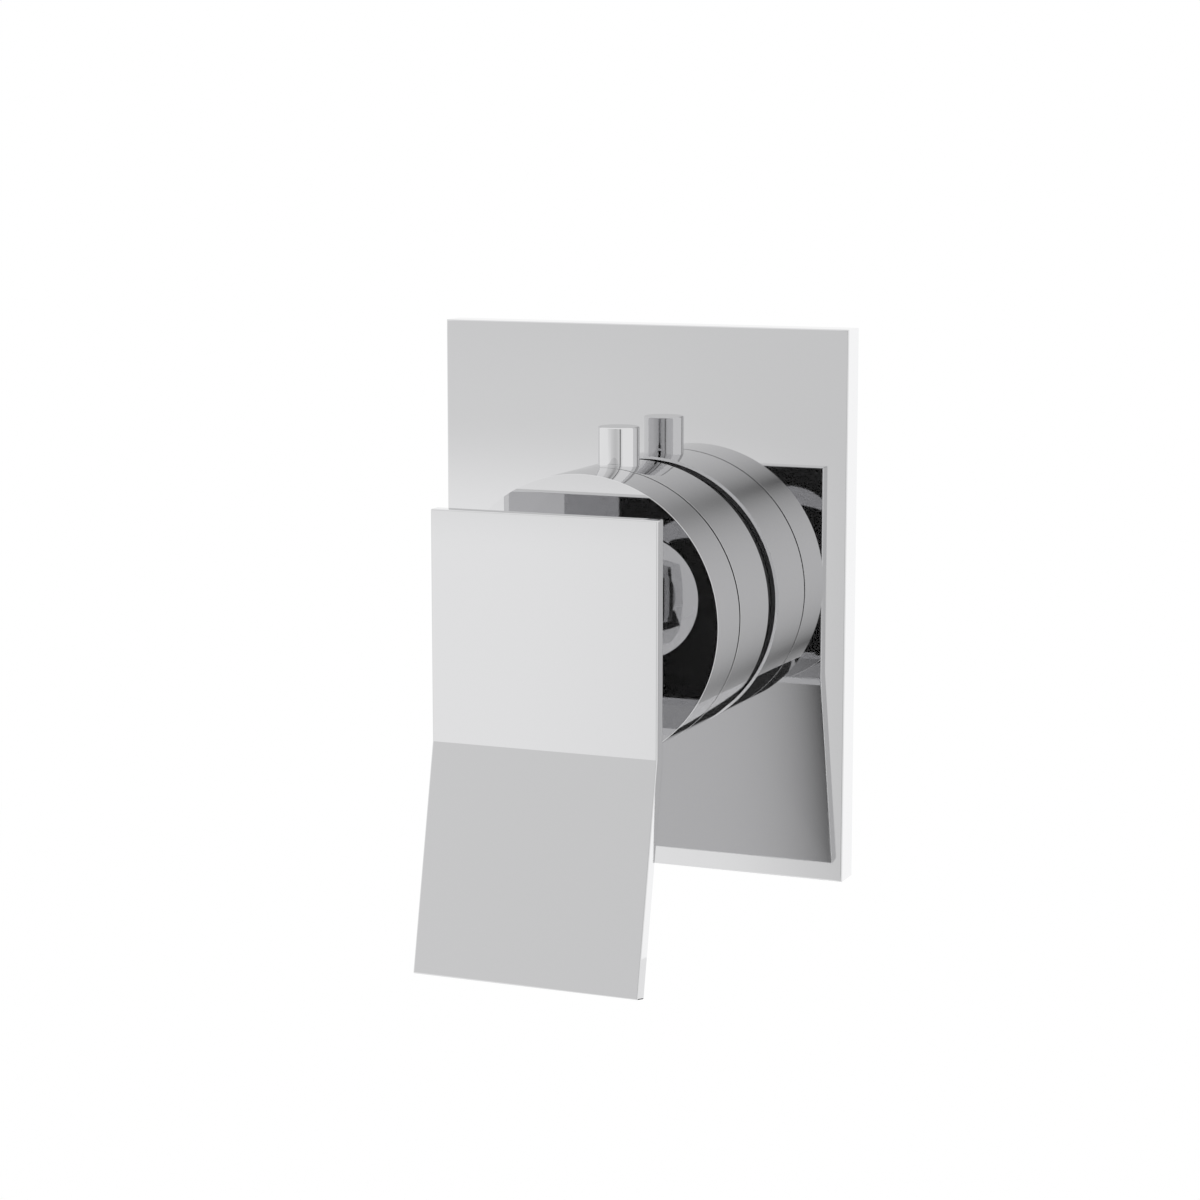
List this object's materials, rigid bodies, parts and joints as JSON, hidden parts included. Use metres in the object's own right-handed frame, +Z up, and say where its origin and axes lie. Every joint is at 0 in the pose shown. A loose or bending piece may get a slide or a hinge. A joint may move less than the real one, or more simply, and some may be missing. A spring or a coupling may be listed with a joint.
{
  "type": "shower diverter valve",
  "caption": "Concealed shower control: wall plate, lever mixer cartridge and a turning ring that diverts water to an upper or a lower outlet.",
  "frame": {"origin": "on the valve axis at the finished wall, in the plane of the cover plate's back rim", "axes": "+Z up, -Y out of the wall towards the user, +Y into the wall, +X to the user's right"},
  "size_m": [0.11, 0.1288, 0.1541],
  "materials": {
    "mirror_chrome": "mirror polished",
    "cast_brass": "as cast and machined",
    "steel": "bright turned",
    "black_abs": "moulded, matt",
    "grey_acetal": "moulded, satin",
    "nitrile_rubber": "matt",
    "pe_foam": "closed-cell foam",
    "alumina": "lapped ceramic"
  },
  "bodies": {
    "fixed_body": {"valve_body": "cast_brass", "neck_seals": "nitrile_rubber", "gland_seal": "nitrile_rubber", "gland_nut": "cast_brass", "wall_plate": "mirror_chrome", "plate_gasket": "pe_foam", "lock_ring": "black_abs", "sleeve_circlip": "steel", "cartridge_base": "grey_acetal", "cartridge_seals": "nitrile_rubber", "cartridge_housing": "grey_acetal", "fixed_ceramic_disc": "alumina", "cartridge_nut": "cast_brass", "cover_carrier": "black_abs", "front_cover": "mirror_chrome", "cover_grub_screw": "steel"},
    "diverter": {"diverter_sleeve": "cast_brass", "ring_carrier": "black_abs", "diverter_ring": "mirror_chrome", "diverter_pin": "mirror_chrome", "diverter_grub_screws": "steel"},
    "turret": {"lever_turret": "grey_acetal", "pivot_pin": "steel"},
    "lever": {"lever_stem": "steel", "dome_cap": "mirror_chrome", "handle_hub": "mirror_chrome", "handle_grub_screw": "steel", "lever_handle": "mirror_chrome"},
    "valve_disc": {"moving_ceramic_disc": "alumina", "disc_carrier": "grey_acetal"}
  },
  "joints": [
    {"name": "diverter_turn", "type": "hinge", "parent": "fixed_body", "child": "diverter", "pos_m": [0, -0.0234, 0], "axis": [0, -1, 0], "range_deg": [-45, 45]},
    {"name": "lever_turn", "type": "hinge", "parent": "fixed_body", "child": "turret", "pos_m": [0, -0.03, 0], "axis": [0, -1, 0], "range_deg": [-45, 45]},
    {"name": "lever_lift", "type": "hinge", "parent": "turret", "child": "lever", "pos_m": [0, -0.03, 0], "axis": [-1, 0, 0], "range_deg": [0, 20]},
    {"name": "disc_slide", "type": "slide", "parent": "turret", "child": "valve_disc", "axis": [0, 0, -1], "range_m": [0, 0.00412]}
  ],
  "couplings": [
    {"joint": "disc_slide", "follows": "lever_lift", "m_per_rad": 0.011758}
  ]
}
